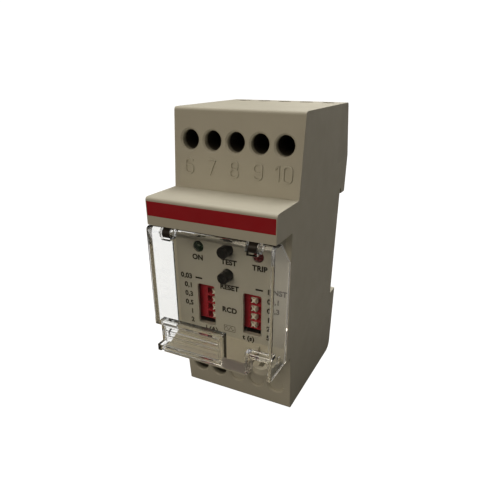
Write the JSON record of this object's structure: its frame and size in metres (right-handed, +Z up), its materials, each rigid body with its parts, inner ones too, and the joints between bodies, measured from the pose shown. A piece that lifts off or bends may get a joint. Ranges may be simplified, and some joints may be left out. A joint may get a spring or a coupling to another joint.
{
  "type": "residual current device",
  "caption": "Two-module rail-mounted residual current relay with a hinged clear cover over a settings panel, push buttons, slide switches and screw terminals.",
  "frame": {"origin": "middle of the bounding box on the bottom end of the case", "axes": "+X to the right seen from the front, +Y to the rear (towards the rail), +Z up"},
  "size_m": [0.0358, 0.0558, 0.085],
  "materials": {
    "case_plastic": "fine matte texture, light warm grey",
    "base_plastic": "fine matte texture, light warm grey",
    "label": "printed label plate",
    "band": "satin red",
    "clear": "clear polycarbonate",
    "lens_green": "tinted green",
    "lens_red": "tinted red",
    "black_plastic": "black",
    "switch_red": "red",
    "slider": "off-white",
    "board": "green solder mask",
    "gold": "plated",
    "core": "laminated steel",
    "copper": "copper wire",
    "relay_blue": "blue case",
    "varistor_blue": "blue lacquer",
    "zinc": "zinc plated",
    "spring_steel": "bare wire"
  },
  "bodies": {
    "case": {"housing": "case_plastic", "rear_base": "base_plastic", "label_panel": "label", "colour_band": "band", "hinge_hooks": "black_plastic", "led_on": "lens_green", "led_trip": "lens_red", "button_switches": "black_plastic", "dip_switch_current": "switch_red", "dip_switch_delay": "switch_red", "front_board": "board", "main_board": "board", "board_header": "gold", "microcontroller": "black_plastic", "transformer_core": "core", "transformer_winding": "copper", "relay": "relay_blue", "capacitors": "black_plastic", "varistor": "varistor_blue", "contact_bars_upper": "copper", "contact_bars_lower": "copper", "rail_clip_spring": "spring_steel"},
    "cover": {"clear_cover": "clear"},
    "test_button": {"test_button": "black_plastic"},
    "reset_button": {"reset_button": "black_plastic"},
    "current_slider_1": {"current_slider_1": "slider"},
    "current_slider_2": {"current_slider_2": "slider"},
    "current_slider_3": {"current_slider_3": "slider"},
    "current_slider_4": {"current_slider_4": "slider"},
    "current_slider_5": {"current_slider_5": "slider"},
    "delay_slider_1": {"delay_slider_1": "slider"},
    "delay_slider_2": {"delay_slider_2": "slider"},
    "delay_slider_3": {"delay_slider_3": "slider"},
    "delay_slider_4": {"delay_slider_4": "slider"},
    "delay_slider_5": {"delay_slider_5": "slider"},
    "screw_1": {"screw_1": "zinc"},
    "clamp_1": {"clamp_1": "zinc"},
    "screw_2": {"screw_2": "zinc"},
    "clamp_2": {"clamp_2": "zinc"},
    "screw_6": {"screw_6": "zinc"},
    "clamp_6": {"clamp_6": "zinc"},
    "screw_7": {"screw_7": "zinc"},
    "clamp_7": {"clamp_7": "zinc"},
    "screw_8": {"screw_8": "zinc"},
    "clamp_8": {"clamp_8": "zinc"},
    "screw_9": {"screw_9": "zinc"},
    "clamp_9": {"clamp_9": "zinc"},
    "screw_10": {"screw_10": "zinc"},
    "clamp_10": {"clamp_10": "zinc"},
    "rail_clip": {"rail_clip": "black_plastic"}
  },
  "joints": [
    {"name": "cover_hinge", "type": "hinge", "parent": "case", "child": "cover", "pos_m": [0, -0.0264, 0.0564], "axis": [-1, 0, 0], "range_deg": [0, 95]},
    {"name": "test_press", "type": "slide", "parent": "case", "child": "test_button", "axis": [0, 1, 0], "range_m": [0, 0.0007], "stiffness_N_per_m": 800, "springref_m": -0.0008},
    {"name": "reset_press", "type": "slide", "parent": "case", "child": "reset_button", "axis": [0, 1, 0], "range_m": [0, 0.0007], "stiffness_N_per_m": 800, "springref_m": -0.0008},
    {"name": "current_slide_1", "type": "slide", "parent": "case", "child": "current_slider_1", "axis": [-1, 0, 0], "range_m": [0, 0.0013]},
    {"name": "current_slide_2", "type": "slide", "parent": "case", "child": "current_slider_2", "axis": [-1, 0, 0], "range_m": [0, 0.0013]},
    {"name": "current_slide_3", "type": "slide", "parent": "case", "child": "current_slider_3", "axis": [-1, 0, 0], "range_m": [0, 0.0013]},
    {"name": "current_slide_4", "type": "slide", "parent": "case", "child": "current_slider_4", "axis": [-1, 0, 0], "range_m": [0, 0.0013]},
    {"name": "current_slide_5", "type": "slide", "parent": "case", "child": "current_slider_5", "axis": [-1, 0, 0], "range_m": [0, 0.0013]},
    {"name": "delay_slide_1", "type": "slide", "parent": "case", "child": "delay_slider_1", "axis": [1, 0, 0], "range_m": [0, 0.0013]},
    {"name": "delay_slide_2", "type": "slide", "parent": "case", "child": "delay_slider_2", "axis": [1, 0, 0], "range_m": [0, 0.0013]},
    {"name": "delay_slide_3", "type": "slide", "parent": "case", "child": "delay_slider_3", "axis": [1, 0, 0], "range_m": [0, 0.0013]},
    {"name": "delay_slide_4", "type": "slide", "parent": "case", "child": "delay_slider_4", "axis": [1, 0, 0], "range_m": [0, 0.0013]},
    {"name": "delay_slide_5", "type": "slide", "parent": "case", "child": "delay_slider_5", "axis": [1, 0, 0], "range_m": [0, 0.0013]},
    {"name": "screw_1_turn", "type": "hinge", "parent": "case", "child": "screw_1", "pos_m": [-0.0132, 0.009, 0.0077], "axis": [0, 1, 0], "range_deg": [0, 1800]},
    {"name": "clamp_1_rise", "type": "slide", "parent": "case", "child": "clamp_1", "axis": [0, -1, 0], "range_m": [0, 0.0025]},
    {"name": "screw_2_turn", "type": "hinge", "parent": "case", "child": "screw_2", "pos_m": [-0.0066, 0.009, 0.0077], "axis": [0, 1, 0], "range_deg": [0, 1800]},
    {"name": "clamp_2_rise", "type": "slide", "parent": "case", "child": "clamp_2", "axis": [0, -1, 0], "range_m": [0, 0.0025]},
    {"name": "screw_6_turn", "type": "hinge", "parent": "case", "child": "screw_6", "pos_m": [-0.0132, 0.009, 0.0773], "axis": [0, 1, 0], "range_deg": [0, 1800]},
    {"name": "clamp_6_rise", "type": "slide", "parent": "case", "child": "clamp_6", "axis": [0, -1, 0], "range_m": [0, 0.0025]},
    {"name": "screw_7_turn", "type": "hinge", "parent": "case", "child": "screw_7", "pos_m": [-0.0066, 0.009, 0.0773], "axis": [0, 1, 0], "range_deg": [0, 1800]},
    {"name": "clamp_7_rise", "type": "slide", "parent": "case", "child": "clamp_7", "axis": [0, -1, 0], "range_m": [0, 0.0025]},
    {"name": "screw_8_turn", "type": "hinge", "parent": "case", "child": "screw_8", "pos_m": [0, 0.009, 0.0773], "axis": [0, 1, 0], "range_deg": [0, 1800]},
    {"name": "clamp_8_rise", "type": "slide", "parent": "case", "child": "clamp_8", "axis": [0, -1, 0], "range_m": [0, 0.0025]},
    {"name": "screw_9_turn", "type": "hinge", "parent": "case", "child": "screw_9", "pos_m": [0.0066, 0.009, 0.0773], "axis": [0, 1, 0], "range_deg": [0, 1800]},
    {"name": "clamp_9_rise", "type": "slide", "parent": "case", "child": "clamp_9", "axis": [0, -1, 0], "range_m": [0, 0.0025]},
    {"name": "screw_10_turn", "type": "hinge", "parent": "case", "child": "screw_10", "pos_m": [0.0132, 0.009, 0.0773], "axis": [0, 1, 0], "range_deg": [0, 1800]},
    {"name": "clamp_10_rise", "type": "slide", "parent": "case", "child": "clamp_10", "axis": [0, -1, 0], "range_m": [0, 0.0025]},
    {"name": "rail_clip_pull", "type": "slide", "parent": "case", "child": "rail_clip", "axis": [0, 0, -1], "range_m": [0, 0.003], "stiffness_N_per_m": 1500, "springref_m": -0.002, "deforming": ["rail_clip_spring"]}
  ],
  "couplings": [
    {"joint": "screw_1_turn", "follows": "clamp_1_rise", "rad_per_m": 12566},
    {"joint": "screw_2_turn", "follows": "clamp_2_rise", "rad_per_m": 12566},
    {"joint": "screw_6_turn", "follows": "clamp_6_rise", "rad_per_m": 12566},
    {"joint": "screw_7_turn", "follows": "clamp_7_rise", "rad_per_m": 12566},
    {"joint": "screw_8_turn", "follows": "clamp_8_rise", "rad_per_m": 12566},
    {"joint": "screw_9_turn", "follows": "clamp_9_rise", "rad_per_m": 12566},
    {"joint": "screw_10_turn", "follows": "clamp_10_rise", "rad_per_m": 12566}
  ]
}
